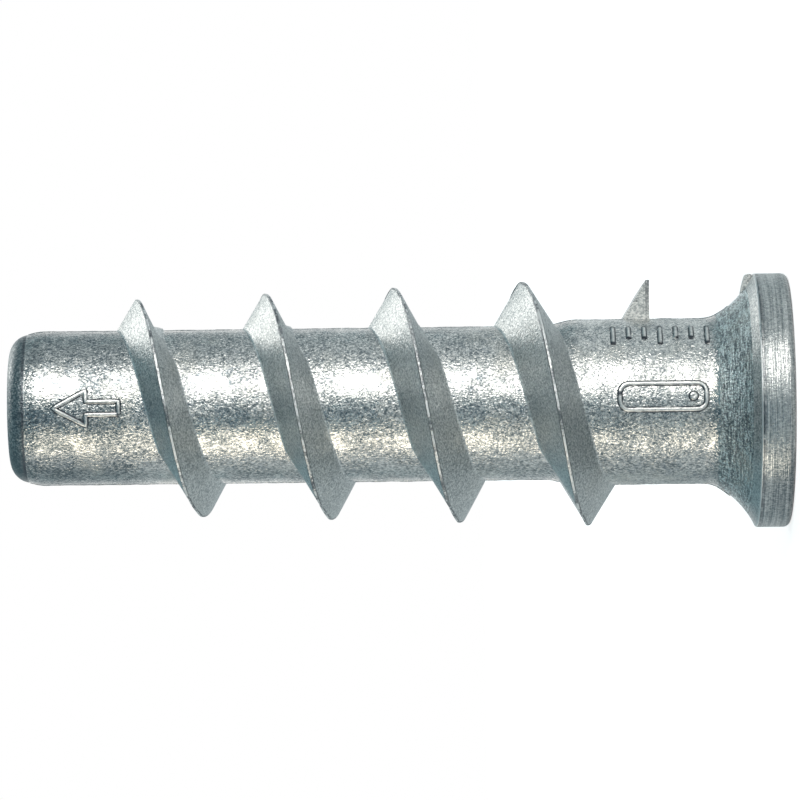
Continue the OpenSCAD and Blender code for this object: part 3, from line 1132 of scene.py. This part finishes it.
# %% World
STUDIO_FRONT = (0.172, 0.262, 0.287, 1.0)
STUDIO_LEFT = (0.195, 0.300, 0.330, 1.0)
STUDIO_NEAR = (0.215, 0.300, 0.325, 1.0)
STUDIO_DARK = (0.040, 0.090, 0.140, 1.0)
STUDIO_ABOVE = (0.320, 0.375, 0.390, 1.0)
STUDIO_BELOW = (0.480, 0.530, 0.540, 1.0)
STUDIO_BEHIND = (0.860, 0.890, 0.890, 1.0)
WHITE = (1.0, 1.0, 1.0, 1.0)
DARK_STRIP_DOWN = 0.22


def start_tree(nodes_of):
    """Empties the node tree of a world or a material, and looks at its light path."""
    nodes_of.use_nodes = True
    tree = nodes_of.node_tree
    tree.nodes.clear()
    path = add_node(tree, "ShaderNodeLightPath")
    return tree, {kind: Figure(path, f"Is {kind} Ray")
                  for kind in ("Camera", "Glossy", "Transmission")}


world = bpy.data.worlds.new("studio")
bpy.context.scene.world = world
wtree, ray = start_tree(world)
direction = add_node(wtree, "ShaderNodeTexCoord").outputs["Generated"]
upwards, away, tipwards = split(wtree, direction)
in_front = above(0.0, away)

to_the_left = between((tipwards - 0.15) / 0.45, 0, 1)
around_camera = in_front * soft_step(abs(tipwards), 0.75, 0.40)
above_or_below = soft_step(abs(upwards), 0.72, 0.96)
behind = (soft_step(away, 0.66, 0.94) * soft_step(abs(upwards), 0.05, 0.30)
          * soft_step(abs(tipwards), 0.35, 0.15))
dark_strip = in_front * soft_step(abs(upwards + DARK_STRIP_DOWN), 0.17, 0.07)
white_wall = soft_step(away, 0.95, 0.98)

room = mix_colours(wtree, to_the_left, STUDIO_FRONT, STUDIO_LEFT)
room = mix_colours(wtree, around_camera, room, STUDIO_NEAR)
sides = mix_colours(wtree, above(upwards, 0.0), STUDIO_BELOW, STUDIO_ABOVE)
for share, colour in ((above_or_below, sides), (behind, STUDIO_BEHIND),
                      (dark_strip, STUDIO_DARK),
                      (most(most(ray["Camera"], ray["Transmission"]), white_wall), WHITE)):
    room = mix_colours(wtree, share, room, colour)
sky = add_node(wtree, "ShaderNodeBackground", {"Color": room, "Strength": 1.0})
add_node(wtree, "ShaderNodeOutputWorld", {"Surface": sky})
print("world:", len(wtree.nodes), "nodes")

# %% [markdown]
# The floor is under the head, where the part stands in its own frame. It is a pale matt
# sheet that takes the shadow. A glow that only camera and mirror rays see brings it up to
# the white of the background, without putting more light on the metal. The glow that
# mirror rays see is stronger under the large lamp, a painted pool of lamp light that the
# metal mirrors.

# %% Floor
FLOOR_REACH, FLOOR_DROP = 1.5, 2e-5
PAPER = (0.8, 0.8, 0.8, 1.0)
floor_mesh = bpy.data.meshes.new("floor")
floor_mesh.from_pydata(
    [(x * FLOOR_REACH, y * FLOOR_REACH, -FLOOR_DROP)
     for x, y in ((-1, -1), (1, -1), (1, 1), (-1, 1))], [], [(0, 1, 2, 3)])
floor = place_object("floor", floor_mesh)

paper = bpy.data.materials.new("white_paper")
ptree, ray = start_tree(paper)
spot = add_node(ptree, "ShaderNodeTexCoord").outputs["Object"]
from_axis = Figure(vector_node(ptree, "LENGTH", spot), "Value")
up_picture = split(ptree, spot)[0]
to_camera = 0.72 + soft_step(from_axis, 0.03, 0.25) * 0.28
# A painted pool of light under the large lamp, seen only in reflections.
painted_lamp_pool = 0.15 + soft_step(up_picture, 0.04, 0.25) * 0.35
glow = add_node(ptree, "ShaderNodeEmission", {
    "Color": WHITE,
    "Strength": (ray["Camera"] * to_camera
                 + most(ray["Glossy"], ray["Transmission"]) * painted_lamp_pool)})
matt = add_node(ptree, "ShaderNodeBsdfDiffuse", {"Color": PAPER})
both = add_node(ptree, "ShaderNodeAddShader", {0: glow, 1: matt})
add_node(ptree, "ShaderNodeOutputMaterial", {"Surface": both})
floor.data.materials.append(paper)
print("floor:", 2 * FLOOR_REACH, "m wide")

# %% [markdown]
# ## Hand over
# Every piece rides on the one body and stands for the CAD node, which is hidden.

# %% Ride and replace
for piece in (body, thread, seam, gate, marks):
    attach(piece, "root")
    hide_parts("anchor")
